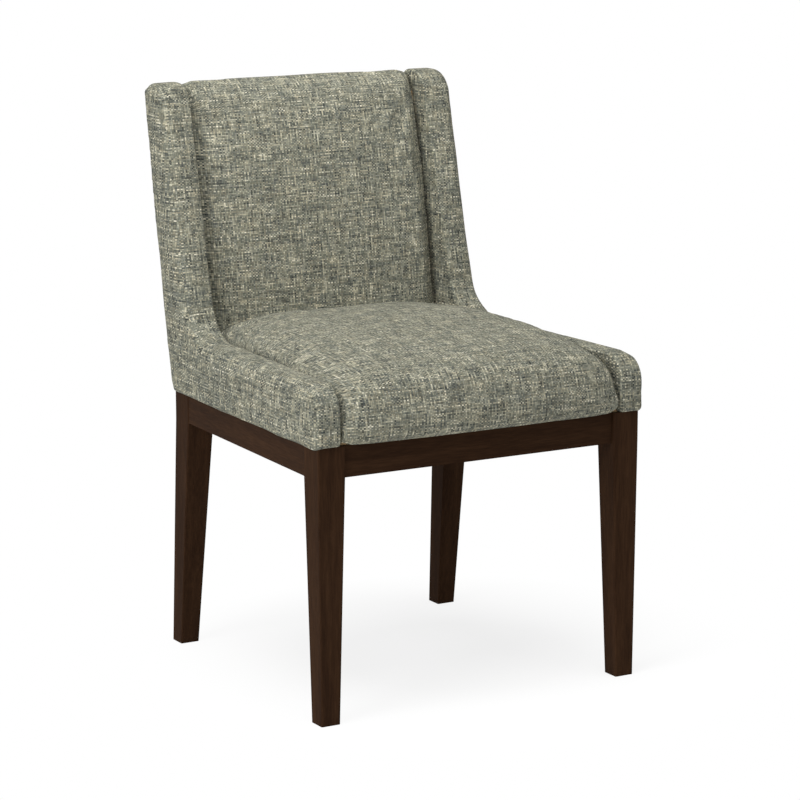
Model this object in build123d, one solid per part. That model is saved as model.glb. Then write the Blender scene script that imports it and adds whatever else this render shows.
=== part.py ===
from build123d import *
import os
from math import atan, cos, radians, sqrt, tan

# Upholstered dining chair in millimetres. +Z is up, the chair faces -Y, and left and right
# are as seen from the front. The origin is on the floor under the middle of the chair.

# Overall height
overall_height = 856.0

# Wooden base
base_height = 400.0
front_width = 533.0
rear_narrowing = 37.0
leg_depth = 485.0
leg_top = 43.0
leg_foot = 30.0
leg_side_taper = 3.5
leg_edge_radius = 2.0
rear_rake = 28.0
apron_height = 46.0
apron_thickness = 22.0
front_apron_setback = 6.0
side_apron_setback = 1.0

# Corner blocks
block_height = 38.0
block_drop = 4.0
block_leg_gap = 24.0
block_face = 38.0
mounting_screw_side = 6.0
mounting_screw_depth = 12.0

# Upholstered outline
side_overhang = 6.5
arm_overhang = 12.0
rear_overhang = 11.0
arm_rise = 84.0
back_angle = 10.2
wing_depth_top = 62.0
wing_depth_arm = 90.0
wing_front_thickness = 38.0
wing_rear_thickness = 48.0
arm_nose_radius = 55.0
sweep_radius = 70.0
wing_top_radius = 32.0
wing_rear_radius = 26.0
wing_outer_edge = 16.0
wing_inner_edge = 6.0

# Seat cushion
seat_nose_overhang = 21.0
seat_nose_crown = 17.0
seat_nose_tuck = 6.0
seat_skirt = 6.0
seat_nose_height = 52.0
seat_shoulder_height = 99.0
seat_shoulder_depth = 43.0
seat_rear_height = 107.0
seat_front_drop = 30.0
seat_rear_drop = 28.0
seat_rear_roll_power = 4
nose_rise = 3.0
shoulder_rise = 12.0
crown_rise = 14.0
crown_edge_rise = 24.0

# Inside back
back_thickness = 57.0
back_edge_thickness = 42.0
back_belly = 4.0
back_straight_height = 110.0
back_top_drop = 0.5
back_top_crown = 5.0
back_roll_height = 30.0
back_roll_rise = 7.0
back_rear_roll = 12.0
back_rear_rise = 3.0

# How a cushion rounds off towards its seams
broad_crown_share = 0.42
edge_roll_power = 16
section_shares = (-1.0, -0.93, -0.8, -0.5, 0.0, 0.5, 0.8, 0.93, 1.0)

# Layers
fabric = 1.5
foam_gap = 0.2
seam_gap = 0.4
seat_back_gap = 1.0
panel_thickness = 15.0
panel_outer_padding = 6.0
panel_edge_padding = 14.0
webbing_thickness = 2.0
webbing_width = 50.0
back_board_thickness = 4.0
dust_cover_thickness = 0.8
dust_cover_gap = 1.0
dust_cover_corner = 75.0

# Hidden frame
rail_thickness = 22.0
rail_width = 60.0
post_width = 50.0
post_thickness = 22.0
frame_top_margin = 34.0
top_rail_height = 55.0
lower_rail_height = 45.0
lower_rail_rise = 48.0
strap_count = 5
strap_end_margin = 22.0

# Fasteners
dowel_radius = 4.0
dowel_length = 40.0
rail_dowel_length = 30.0
dowel_pitch = 24.0
screw_radius = 2.25
screw_head_radius = 4.0
screw_head_height = 3.0
screw_bite = 16.0
long_screw_bite = 36.0
frame_screw_sink = 3.0
panel_rail_screw_shares = (0.2, 0.5, 0.8)
panel_post_screw_shares = (0.3, 0.5, 0.7)
pair_rows = (-0.5, 0.5)
hole_clearance = 0.1

# Values that follow from the driving dimensions
rear_width = front_width - rear_narrowing
arm_height = base_height + arm_rise
front_y = -leg_depth / 2
rear_y = leg_depth / 2
apron_bottom = base_height - apron_height
back_lean = tan(radians(back_angle))
rail_top = base_height + rail_thickness
seat_bottom = rail_top + 2 * webbing_thickness
back_top = overall_height - back_top_drop
frame_top = overall_height - frame_top_margin
lower_rail_bottom = rail_top + lower_rail_rise
shell_depth = fabric + back_board_thickness
front_rail_front = front_y - seat_nose_overhang + seat_nose_crown + seat_nose_tuck + seat_skirt
front_rail_rear = front_rail_front + rail_width
far = 2 * leg_depth


def share_of_depth(y):
    return (y - front_y) / leg_depth


def outer_x(y):
    return front_width / 2 + side_overhang + share_of_depth(y) * (rear_width - front_width) / 2


def inner_x(y):
    growth = wing_rear_thickness - wing_front_thickness
    return outer_x(y) - wing_front_thickness - share_of_depth(y) * growth


def panel_inner_x(y):
    return outer_x(y) - panel_outer_padding - panel_thickness


def rear_face_y(z):
    return rear_y + rear_overhang + back_lean * (z - base_height)


# The wing's front edge leans a little more than its rear edge
wing_lean = back_lean + (wing_depth_arm - wing_depth_top) / (overall_height - arm_height)


def wing_front_y(z):
    return rear_face_y(arm_height) - wing_depth_arm + wing_lean * (z - arm_height)


rear_rail_rear = rear_face_y(base_height) - shell_depth
rear_rail_front = rear_rail_rear - rail_width


# Small building helpers
def plan_prism(near, beyond, bottom, top):
    outline = Polyline(
        (near(-far), -far), (beyond(-far), -far), (beyond(far), far), (near(far), far), close=True
    )
    return Pos(0, 0, bottom) * extrude(make_face(outline), top - bottom)


def plan_block(points, bottom, top):
    return Pos(0, 0, bottom) * extrude(make_face(Polyline(*points, close=True)), top - bottom)


def side_slab(points, x_low, x_high):
    outline = Plane.YZ * make_face(Polyline(*points, close=True))
    return Pos(x_low, 0, 0) * extrude(outline, x_high - x_low)


def leaning_slab(depth_near, depth_far, bottom, top, x_low, x_high):
    points = (
        (rear_face_y(bottom) - depth_near, bottom),
        (rear_face_y(top) - depth_near, top),
        (rear_face_y(top) - depth_far, top),
        (rear_face_y(bottom) - depth_far, bottom),
    )
    return side_slab(points, x_low, x_high)


def mirrored(shape):
    return mirror(shape, about=Plane.YZ)


def pin(start, direction, length, radius):
    rod = Cylinder(radius, length, align=(Align.CENTER, Align.CENTER, Align.MIN))
    return Plane(origin=start, z_dir=direction) * rod


def opposite(direction):
    return tuple(-part for part in direction)


def screw(seat, direction, length):
    shank = pin(seat, direction, length, screw_radius)
    return shank + pin(seat, opposite(direction), screw_head_height, screw_head_radius)


def screw_hole(seat, direction, length, sink):
    shank = pin(seat, direction, length + hole_clearance, screw_radius + hole_clearance)
    return shank + pin(seat, opposite(direction), sink, screw_head_radius + hole_clearance)


def dowel_hole(start, direction, length):
    first = Vector(start) - Vector(direction) * hole_clearance
    return pin(first, direction, length + 2 * hole_clearance, dowel_radius + hole_clearance)


def save(name, shape):
    nodes[name] = shape


nodes = {}

# Dowels between aprons and legs
apron_dowel_starts = []
for x_sign in (-1, 1):
    for row in pair_rows:
        z = apron_bottom + apron_height / 2 + row * dowel_pitch
        for y_sign, width in ((-1, front_width), (1, rear_width)):
            joint_x = x_sign * (width / 2 - leg_top)
            joint_y = y_sign * (leg_depth / 2 - front_apron_setback - apron_thickness / 2)
            start_x = joint_x - x_sign * dowel_length / 2
            apron_dowel_starts.append(((start_x, joint_y, z), (x_sign, 0, 0)))
            side_x = x_sign * (width / 2 - side_apron_setback - apron_thickness / 2)
            leg_face_y = y_sign * (leg_depth / 2 - leg_top)
            start_y = leg_face_y - y_sign * dowel_length / 2
            apron_dowel_starts.append(((side_x, start_y, z), (0, y_sign, 0)))
apron_dowels = [pin(start, way, dowel_length, dowel_radius) for start, way in apron_dowel_starts]
apron_dowel_holes = [dowel_hole(start, way, dowel_length) for start, way in apron_dowel_starts]


# Legs
def leg(x_sign, y_sign):
    width = front_width if y_sign < 0 else rear_width
    rake = 0 if y_sign < 0 else rear_rake
    top_centre = (x_sign * (width - leg_top) / 2, y_sign * (leg_depth - leg_top) / 2)
    foot_x = x_sign * ((width - leg_foot) / 2 - leg_side_taper)
    foot_y = y_sign * ((leg_depth - leg_foot) / 2 + rake)
    foot = Pos(foot_x, foot_y, 0) * RectangleRounded(leg_foot, leg_foot, leg_edge_radius)
    knee = Pos(*top_centre, apron_bottom) * RectangleRounded(leg_top, leg_top, leg_edge_radius)
    return loft([foot, knee], ruled=True) + extrude(knee, apron_height)


leg_names = {
    "front_left_leg": (-1, -1),
    "front_right_leg": (1, -1),
    "rear_left_leg": (-1, 1),
    "rear_right_leg": (1, 1),
}
for name, signs in leg_names.items():
    save(name, leg(*signs) - apron_dowel_holes)


# Aprons
def cross_apron(y_sign):
    half = (front_width if y_sign < 0 else rear_width) / 2 - leg_top
    outer = y_sign * (leg_depth / 2 - front_apron_setback)
    inner = outer - y_sign * apron_thickness
    return plan_block(
        ((-half, outer), (half, outer), (half, inner), (-half, inner)), apron_bottom, base_height
    )


def side_apron():
    front_x = front_width / 2 - side_apron_setback
    rear_x = rear_width / 2 - side_apron_setback
    front_end = front_y + leg_top
    rear_end = rear_y - leg_top
    points = (
        (front_x, front_end),
        (rear_x, rear_end),
        (rear_x - apron_thickness, rear_end),
        (front_x - apron_thickness, front_end),
    )
    return plan_block(points, apron_bottom, base_height)


aprons = {
    "front_apron": cross_apron(-1),
    "rear_apron": cross_apron(1),
    "right_apron": side_apron(),
    "left_apron": mirrored(side_apron()),
}

# Corner blocks brace each corner behind the legs
block_top = base_height - block_drop
block_bottom = block_top - block_height


def side_apron_inner_x(y):
    front_x = front_width / 2 - side_apron_setback - apron_thickness
    rear_x = rear_width / 2 - side_apron_setback - apron_thickness
    return front_x + (y - front_y - leg_top) / (leg_depth - 2 * leg_top) * (rear_x - front_x)


def block_corners(x_sign, y_sign):
    width = front_width if y_sign < 0 else rear_width
    leg_x = width / 2 - leg_top
    leg_y = leg_depth / 2 - leg_top
    cross_y = leg_depth / 2 - front_apron_setback - apron_thickness
    near_y = y_sign * (leg_y - block_leg_gap)
    away_y = near_y - y_sign * block_face
    return (
        (x_sign * (leg_x - block_leg_gap), y_sign * cross_y),
        (x_sign * (leg_x - block_leg_gap - block_face), y_sign * cross_y),
        (x_sign * side_apron_inner_x(away_y), away_y),
        (x_sign * side_apron_inner_x(near_y), near_y),
    )


block_names = {
    "front_left_corner_block": (-1, -1),
    "front_right_corner_block": (1, -1),
    "rear_left_corner_block": (-1, 1),
    "rear_right_corner_block": (1, 1),
}
block_screws = []
block_holes = []
mounting_screws = []
mounting_holes = []
block_seat_depth = block_face / 4
mounting_length = block_height + block_drop + screw_bite
for x_sign, y_sign in block_names.values():
    corners = block_corners(x_sign, y_sign)
    z = (block_top + block_bottom) / 2
    cross_x = (corners[0][0] + corners[1][0]) / 2
    side_y = (corners[2][1] + corners[3][1]) / 2
    side_x = x_sign * side_apron_inner_x(side_y)
    cross_seat = (cross_x, corners[0][1] - y_sign * block_seat_depth, z)
    side_seat = (side_x - x_sign * block_seat_depth, side_y, z)
    for seat, way in ((cross_seat, (0, y_sign, 0)), (side_seat, (x_sign, 0, 0))):
        block_screws.append(screw(seat, way, block_seat_depth + screw_bite))
        block_holes.append(screw_hole(seat, way, block_seat_depth + screw_bite, block_face))
    mounting_x = corners[0][0] - x_sign * mounting_screw_side
    mounting_y = corners[0][1] - y_sign * mounting_screw_depth
    foot = (mounting_x, mounting_y, block_bottom)
    mounting_screws.append(screw(foot, (0, 0, 1), mounting_length))
    mounting_holes.append(screw_hole(foot, (0, 0, 1), mounting_length, screw_head_height))

for name, shape in aprons.items():
    save(name, shape - apron_dowel_holes - block_holes)
for name, signs in block_names.items():
    block = plan_block(block_corners(*signs), block_bottom, block_top)
    save(name, block - block_holes - mounting_holes)
save("apron_dowels", Compound(apron_dowels))
save("corner_block_screws", Compound(block_screws))
save("seat_mounting_screws", Compound(mounting_screws))

# Seat frame: four flat rails between the wing panels, resting on the base
between_panels = plan_prism(lambda y: -panel_inner_x(y), panel_inner_x, base_height, rail_top)
seat_rails = {
    "seat_front_rail": between_panels
    & plan_block(
        ((-far, front_rail_front), (far, front_rail_front), (far, front_rail_rear), (-far, front_rail_rear)),
        base_height,
        rail_top,
    ),
    "seat_rear_rail": between_panels
    & plan_block(
        ((-far, rear_rail_front), (far, rear_rail_front), (far, rear_rail_rear), (-far, rear_rail_rear)),
        base_height,
        rail_top,
    ),
}
right_rail_points = (
    (panel_inner_x(front_rail_rear), front_rail_rear),
    (panel_inner_x(rear_rail_front), rear_rail_front),
    (panel_inner_x(rear_rail_front) - rail_width, rear_rail_front),
    (panel_inner_x(front_rail_rear) - rail_width, front_rail_rear),
)
seat_rails["seat_right_rail"] = plan_block(right_rail_points, base_height, rail_top)
seat_rails["seat_left_rail"] = mirrored(seat_rails["seat_right_rail"])

seat_dowel_starts = []
for x_sign in (-1, 1):
    for joint_y in (front_rail_rear, rear_rail_front):
        for row in pair_rows:
            x = panel_inner_x(joint_y) - rail_width / 2 + row * dowel_pitch
            start = (x_sign * x, joint_y - rail_dowel_length / 2, base_height + rail_thickness / 2)
            seat_dowel_starts.append((start, (0, 1, 0)))
seat_dowels = [pin(start, way, rail_dowel_length, dowel_radius) for start, way in seat_dowel_starts]
seat_dowel_holes = [dowel_hole(start, way, rail_dowel_length) for start, way in seat_dowel_starts]

# Back frame: two leaning posts on the rear rail, joined by two rails
frame_near = shell_depth
frame_far = shell_depth + post_thickness
post_inner_x = panel_inner_x(rear_y) - post_width
post_blank = leaning_slab(frame_near, frame_far, rail_top, frame_top, post_inner_x, far)
right_post = post_blank & plan_prism(lambda y: 0, panel_inner_x, base_height, overall_height)
back_rails = {
    "back_top_rail": (frame_top - top_rail_height, frame_top),
    "back_lower_rail": (lower_rail_bottom, lower_rail_bottom + lower_rail_height),
}

post_screws = []
post_holes = []
post_screw_y = rear_face_y(rail_top) - (frame_near + frame_far) / 2
post_screw_seat_z = base_height + screw_head_height
post_screw_length = rail_thickness - screw_head_height + long_screw_bite
frame_screws = []
frame_holes = []
frame_screw_length = post_width - screw_head_height + long_screw_bite
for x_sign in (-1, 1):
    for row in pair_rows:
        x = x_sign * (post_inner_x + post_width / 2 + row * dowel_pitch)
        seat = (x, post_screw_y, post_screw_seat_z)
        post_screws.append(screw(seat, (0, 0, 1), post_screw_length))
        post_holes.append(screw_hole(seat, (0, 0, 1), post_screw_length, screw_head_height))
        for low, high in back_rails.values():
            z = (low + high) / 2 + row * dowel_pitch
            y = rear_face_y(z) - (frame_near + frame_far) / 2
            seat_x = panel_inner_x(y) - screw_head_height - frame_screw_sink
            way = (-x_sign, 0, 0)
            seat = (x_sign * seat_x, y, z)
            frame_screws.append(screw(seat, way, frame_screw_length))
            frame_holes.append(screw_hole(seat, way, frame_screw_length, post_width))

# Screws that hold each wing panel to the seat frame and the post
panel_screws = []
panel_holes = []
panel_screw_length = panel_thickness - screw_head_height + screw_bite
rail_run = rear_rail_front - front_rail_rear
panel_screw_places = []
for share in panel_rail_screw_shares:
    panel_screw_places.append((front_rail_rear + share * rail_run, base_height + rail_thickness / 2))
for share in panel_post_screw_shares:
    z = rail_top + share * (frame_top - rail_top)
    panel_screw_places.append((rear_face_y(z) - (frame_near + frame_far) / 2, z))
for x_sign in (-1, 1):
    for y, z in panel_screw_places:
        seat = (x_sign * (outer_x(y) - panel_outer_padding - screw_head_height), y, z)
        way = (-x_sign, 0, 0)
        panel_screws.append(screw(seat, way, panel_screw_length))
        panel_holes.append(screw_hole(seat, way, panel_screw_length, screw_head_height))

for name, shape in seat_rails.items():
    save(name, shape - seat_dowel_holes - mounting_holes - post_holes - panel_holes)
save("seat_frame_dowels", Compound(seat_dowels))
posts = {"right_back_post": right_post, "left_back_post": mirrored(right_post)}
for name, shape in posts.items():
    save(name, shape - post_holes - frame_holes - panel_holes)
for name, (low, high) in back_rails.items():
    rail = leaning_slab(frame_near, frame_far, low, high, -post_inner_x, post_inner_x)
    save(name, rail - frame_holes)
save("post_screws", Compound(post_screws))
save("back_frame_screws", Compound(frame_screws))
save("wing_panel_screws", Compound(panel_screws))

# Webbing over the seat frame and across the back posts
lengthwise_straps = []
crosswise_straps = []
back_straps = []
lengthwise_reach = panel_inner_x(rear_y) - rail_width - webbing_width / 2
crosswise_first = front_rail_rear + webbing_width
crosswise_last = rear_rail_front - webbing_width
back_first = lower_rail_bottom + webbing_width / 2
back_last = frame_top - webbing_width / 2
back_strap_half = inner_x(rear_face_y(frame_top)) - fabric - seam_gap
strap_front = front_rail_front + strap_end_margin
strap_rear = rear_face_y(rail_top) - frame_far - strap_end_margin / 2
for step in range(strap_count):
    share = step / (strap_count - 1)
    x = lengthwise_reach * (2 * share - 1)
    low_x = x - webbing_width / 2
    high_x = x + webbing_width / 2
    lengthwise_straps.append(
        plan_block(
            ((low_x, strap_front), (high_x, strap_front), (high_x, strap_rear), (low_x, strap_rear)),
            rail_top,
            rail_top + webbing_thickness,
        )
    )
    y = crosswise_first + share * (crosswise_last - crosswise_first)
    low_y = y - webbing_width / 2
    high_y = y + webbing_width / 2
    reach = inner_x(high_y) - seam_gap - fabric
    crosswise_straps.append(
        plan_block(
            ((-reach, low_y), (reach, low_y), (reach, high_y), (-reach, high_y)),
            rail_top + webbing_thickness,
            seat_bottom,
        )
    )
    z = back_first + share * (back_last - back_first)
    back_straps.append(
        leaning_slab(
            frame_far,
            frame_far + webbing_thickness,
            z - webbing_width / 2,
            z + webbing_width / 2,
            -back_strap_half,
            back_strap_half,
        )
    )
save("seat_webbing_lengthwise", Compound(lengthwise_straps))
save("seat_webbing_crosswise", Compound(crosswise_straps))
save("back_webbing", Compound(back_straps))


# Wings: an L-shaped outline with rounded corners, seen from the side
def wing_outline(inset, bottom):
    front = front_y - arm_overhang + inset
    arm = arm_height - inset
    top = overall_height - inset
    front_shift = inset / cos(atan(wing_lean))
    rear_shift = inset / cos(atan(back_lean))
    corners = (
        ((front, bottom), 0),
        ((front, arm), arm_nose_radius - inset),
        ((wing_front_y(arm) + front_shift, arm), sweep_radius + inset),
        ((wing_front_y(top) + front_shift, top), wing_top_radius - inset),
        ((rear_face_y(top) - rear_shift, top), wing_rear_radius - inset),
        ((rear_face_y(bottom) - rear_shift, bottom), 0),
    )
    outline = make_face(Polyline(*[place for place, radius in corners], close=True))
    for place, radius in corners:
        if radius > 0:
            corner = outline.vertices().sort_by_distance(place)[0]
            outline = fillet(corner, radius)
    return Plane.YZ * outline


def wing_body(inset):
    bottom = base_height + inset

    def near(y):
        return inner_x(y) + inset

    def beyond(y):
        return outer_x(y) - inset

    body = extrude(wing_outline(inset, bottom), far)
    body = body & plan_prism(near, beyond, 0, 2 * overall_height)
    for line, radius in ((beyond, wing_outer_edge), (near, wing_inner_edge)):
        rim = [
            edge
            for edge in body.edges()
            if abs((edge @ 0.5).X - line((edge @ 0.5).Y)) < hole_clearance
            and (edge @ 0.5).Z > bottom + hole_clearance
            and abs((edge @ 0).X - line((edge @ 0).Y)) < hole_clearance
            and abs((edge @ 1).X - line((edge @ 1).Y)) < hole_clearance
        ]
        body = fillet(rim, radius - inset)
    return body


def panel_outer_x(y):
    return outer_x(y) - panel_outer_padding


# The wing's padding and cover leave room for the frame that reaches into the wing
frame_pocket = [
    right_post,
    seat_rails["seat_front_rail"],
    seat_rails["seat_rear_rail"],
    seat_rails["seat_right_rail"],
]
panel_outline = wing_outline(panel_edge_padding, base_height + fabric)
panel_prism = plan_prism(panel_inner_x, panel_outer_x, 0, 2 * overall_height)
wing_panel = extrude(panel_outline, far) & panel_prism
wing_core = wing_body(fabric + foam_gap)
wing_padding = wing_core - wing_panel - frame_pocket
wing_cover = wing_body(0) - wing_body(fabric) - frame_pocket
panel_holes_right = panel_holes[len(panel_screw_places):]
for name, shape in (
    ("wing_panel", wing_panel - panel_holes_right),
    ("wing_padding", wing_padding - panel_holes_right),
    ("wing_cover", wing_cover),
):
    save("right_" + name, shape)
    save("left_" + name, mirrored(shape))


# Cushions are lofted from side sections that fan out with the wings' inner faces
def roll_off(share):
    return broad_crown_share * share**2 + (1 - broad_crown_share) * share**edge_roll_power


def fan_point(share, inset, place):
    y, z = place
    return Vector(share * (inner_x(y) - seam_gap - inset), y, z)


def section(share, inset, lines):
    edges = []
    for places in lines:
        points = [fan_point(share, inset, place) for place in places]
        edges.append(Line(*points) if len(points) == 2 else ThreePointArc(*points))
    return Face(Wire(edges))


def arc_middle(start, end, rise):
    length = sqrt((end[0] - start[0]) ** 2 + (end[1] - start[1]) ** 2)
    across = ((start[1] - end[1]) / length, (end[0] - start[0]) / length)
    return (
        (start[0] + end[0]) / 2 + rise * across[0],
        (start[1] + end[1]) / 2 + rise * across[1],
    )


def back_front_y(share, z):
    depth = back_thickness - (back_thickness - back_edge_thickness) * roll_off(share)
    return rear_face_y(z) - depth


# Seat: skirt in front of the front rail, bulging nose, waterfall shoulder, crowned top
def seat_body(inset, below, behind):
    sections = []
    for share in section_shares:
        roll = roll_off(share)
        nose_y = front_y - seat_nose_overhang + seat_nose_crown * roll + inset
        foot = (nose_y + seat_nose_tuck, base_height - below)
        nose = (nose_y + nose_rise, base_height + seat_nose_height - seat_front_drop * roll)
        shoulder = (
            nose_y + seat_shoulder_depth,
            base_height + seat_shoulder_height - seat_front_drop * roll - inset,
        )
        rear_z = base_height + seat_rear_height - seat_rear_drop * share**seat_rear_roll_power - inset
        rear_top = (back_front_y(share, rear_z) - seat_back_gap + behind, rear_z)
        rear_low = (back_front_y(share, seat_bottom) - seat_back_gap + behind, seat_bottom - below)
        skirt_top = (front_rail_front, seat_bottom - below)
        skirt_foot = (front_rail_front, base_height - below)
        rise = crown_rise - (crown_rise - crown_edge_rise) * roll
        crown = arc_middle(shoulder, rear_top, rise)
        lines = (
            (foot, arc_middle(foot, nose, nose_rise), nose),
            (nose, arc_middle(nose, shoulder, shoulder_rise), shoulder),
            (shoulder, crown, rear_top),
            (rear_top, rear_low),
            (rear_low, skirt_top),
            (skirt_top, skirt_foot),
            (skirt_foot, foot),
        )
        sections.append(section(share, inset, lines))
    return loft(sections)


save("seat_cover", seat_body(0, 0, 0) - seat_body(fabric, fabric, fabric))
save("seat_foam", seat_body(fabric + foam_gap, 0, -fabric))


# Inside back: straight behind the seat, a slight belly above it and a rolled top edge
def back_body(inset, below, behind):
    sections = []
    for share in section_shares:
        roll = roll_off(share)
        bottom = seat_bottom - below
        waist_z = base_height + back_straight_height
        roll_z = back_top - back_roll_height
        top = back_top - back_top_crown * roll - inset
        rear_z = top - back_rear_roll
        low_front = (back_front_y(share, bottom) + inset, bottom)
        waist = (back_front_y(share, waist_z) + inset, waist_z)
        roll_start = (back_front_y(share, roll_z) + inset, roll_z)
        crest = (rear_face_y(top) - shell_depth - back_rear_roll, top)
        rear_top = (rear_face_y(rear_z) - shell_depth + behind, rear_z)
        rear_low = (rear_face_y(bottom) - shell_depth + behind, bottom)
        lines = (
            (low_front, waist),
            (waist, arc_middle(waist, roll_start, back_belly), roll_start),
            (roll_start, arc_middle(roll_start, crest, back_roll_rise), crest),
            (crest, arc_middle(crest, rear_top, back_rear_rise), rear_top),
            (rear_top, rear_low),
            (rear_low, low_front),
        )
        sections.append(section(share, inset, lines))
    return loft(sections)


frame_hollow = leaning_slab(0, frame_far + webbing_thickness, 0, frame_top, -far, far)
beneath = plan_block(((-far, -far), (far, -far), (far, far), (-far, far)), 0, seat_bottom)
back_shell = back_body(0, fabric, 0) - back_body(fabric, 2 * fabric, fabric)
save("inside_back_cover", back_shell - frame_hollow - beneath)
save("back_foam", back_body(fabric + foam_gap, 0, 0) - frame_hollow)


# Outside back between the wings: a thin board and the cover over it
def half_between_wings(y):
    return inner_x(y) - seam_gap


between_wings = plan_prism(lambda y: -half_between_wings(y), half_between_wings, 0, 2 * overall_height)
outside_top = back_top - back_top_crown - back_rear_roll
outside_bottom = base_height + fabric
board = leaning_slab(fabric, shell_depth, outside_bottom, outside_top - fabric, -far, far) & between_wings
wrap = leaning_slab(0, shell_depth, outside_bottom, outside_top, -far, far) & between_wings
save("outside_back_board", board)
save("outside_back_cover", wrap - board)

# Dust cover under the seat frame, inside the aprons, with its corners cut off
dust_y = leg_depth / 2 - front_apron_setback - apron_thickness - dust_cover_gap
dust_side_y = dust_y - dust_cover_corner


def dust_half_x(y):
    return side_apron_inner_x(y) - dust_cover_gap


dust_right = (
    (dust_half_x(-dust_y) - dust_cover_corner, -dust_y),
    (dust_half_x(-dust_side_y), -dust_side_y),
    (dust_half_x(dust_side_y), dust_side_y),
    (dust_half_x(dust_y) - dust_cover_corner, dust_y),
)
dust_left = tuple((-x, y) for x, y in reversed(dust_right))
save("dust_cover", plan_block(dust_right + dust_left, base_height - dust_cover_thickness, base_height))

# Centre the whole chair over the origin and write each piece
os.makedirs("parts", exist_ok=True)
boxes = [shape.bounding_box() for shape in nodes.values()]
middle_y = (min(box.min.Y for box in boxes) + max(box.max.Y for box in boxes)) / 2
for name, shape in nodes.items():
    export_step(Pos(0, -middle_y, 0) * shape, "parts/" + name + ".step")
print("depth of the origin behind the middle of the legs:", round(middle_y, 2))
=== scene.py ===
import bpy
import bmesh
import numpy as np
from math import atan, cos, pi, radians, sin, tan
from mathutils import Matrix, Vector, geometry, noise


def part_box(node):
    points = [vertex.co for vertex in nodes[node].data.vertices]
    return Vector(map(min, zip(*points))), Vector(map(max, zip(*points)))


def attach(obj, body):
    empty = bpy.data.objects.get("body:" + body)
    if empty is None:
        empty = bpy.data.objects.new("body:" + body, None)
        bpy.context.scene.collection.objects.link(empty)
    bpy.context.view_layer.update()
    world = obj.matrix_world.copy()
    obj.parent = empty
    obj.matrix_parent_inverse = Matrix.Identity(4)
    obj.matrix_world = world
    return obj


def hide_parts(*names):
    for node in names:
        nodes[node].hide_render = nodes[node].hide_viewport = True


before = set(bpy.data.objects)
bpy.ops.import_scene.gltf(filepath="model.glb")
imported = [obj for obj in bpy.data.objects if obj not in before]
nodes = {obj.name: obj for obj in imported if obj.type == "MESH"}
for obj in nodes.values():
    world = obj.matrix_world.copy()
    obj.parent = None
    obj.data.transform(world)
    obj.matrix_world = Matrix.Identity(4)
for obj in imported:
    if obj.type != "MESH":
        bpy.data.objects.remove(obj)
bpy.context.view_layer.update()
scene = bpy.context.scene
print("frame loaded,", len(nodes), "nodes")

tiny = 1e-9  # below this a length counts as nothing

# how a surface is evened out, brought true, rippled and folded
surface = {
    "easing": 0.5,
    "nudge": 1e-4,
    "leastSlope": 0.2,
    "leastArcPoints": 4,
    "seedShift": (7.3, 3.1, 5.7),
    "foldRise": 0.6,
    "foldReach": 1.7,
    "underSpan": (0.1, 0.6),
}


# meshes as arrays
def pointsOf(obj):
    flat = np.zeros(len(obj.data.vertices) * 3, np.float32)
    obj.data.vertices.foreach_get("co", flat)
    return flat.reshape(-1, 3).astype(float)


def setPoints(obj, points):
    obj.data.vertices.foreach_set("co", points.astype(np.float32).ravel())
    obj.data.update()


def normalsOf(obj):
    flat = np.zeros(len(obj.data.vertices) * 3, np.float32)
    obj.data.vertex_normals.foreach_get("vector", flat)
    return flat.reshape(-1, 3).astype(float)


def edgesOf(obj):
    flat = np.zeros(len(obj.data.edges) * 2, np.int32)
    obj.data.edges.foreach_get("vertices", flat)
    return flat.reshape(-1, 2)


def newPiece(name, mesh):
    obj = bpy.data.objects.new(name, mesh)
    scene.collection.objects.link(obj)
    return obj


def applyModifiers(obj):
    graph = bpy.context.evaluated_depsgraph_get()
    made = bpy.data.meshes.new_from_object(obj.evaluated_get(graph))
    obj.modifiers.clear()
    old = obj.data
    obj.data = made
    bpy.data.meshes.remove(old)


def remesh(obj, size):
    step = obj.modifiers.new("remesh", "REMESH")
    step.mode = "VOXEL"
    step.voxel_size = size
    applyModifiers(obj)


def refine(obj):
    step = obj.modifiers.new("refine", "SUBSURF")
    step.levels = 1
    step.render_levels = 1
    applyModifiers(obj)
    obj.data.shade_smooth()


def relax(obj, rounds, held=None):  # each point moves towards its neighbours' mean
    points = pointsOf(obj)
    ends = edgesOf(obj)
    count = np.bincount(ends.ravel(), minlength=len(points))[:, None]
    for _ in range(rounds):
        total = np.zeros_like(points)
        np.add.at(total, ends[:, 0], points[ends[:, 1]])
        np.add.at(total, ends[:, 1], points[ends[:, 0]])
        step = surface["easing"] * (total / count - points)
        if held is not None:
            step[held] = 0
        points = points + step
    setPoints(obj, points)


def smoothStep(value, low, high):
    t = np.clip((value - low) / (high - low), 0, 1)
    return t * t * (3 - 2 * t)


# foam pushes its cover out, so each padded piece is swelled as cloth and its travel capped
cloth = {"pressure": 4.0, "frames": 20, "tension": 30.0, "shear": 12.0, "bend": 2.0, "quality": 4}


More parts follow.
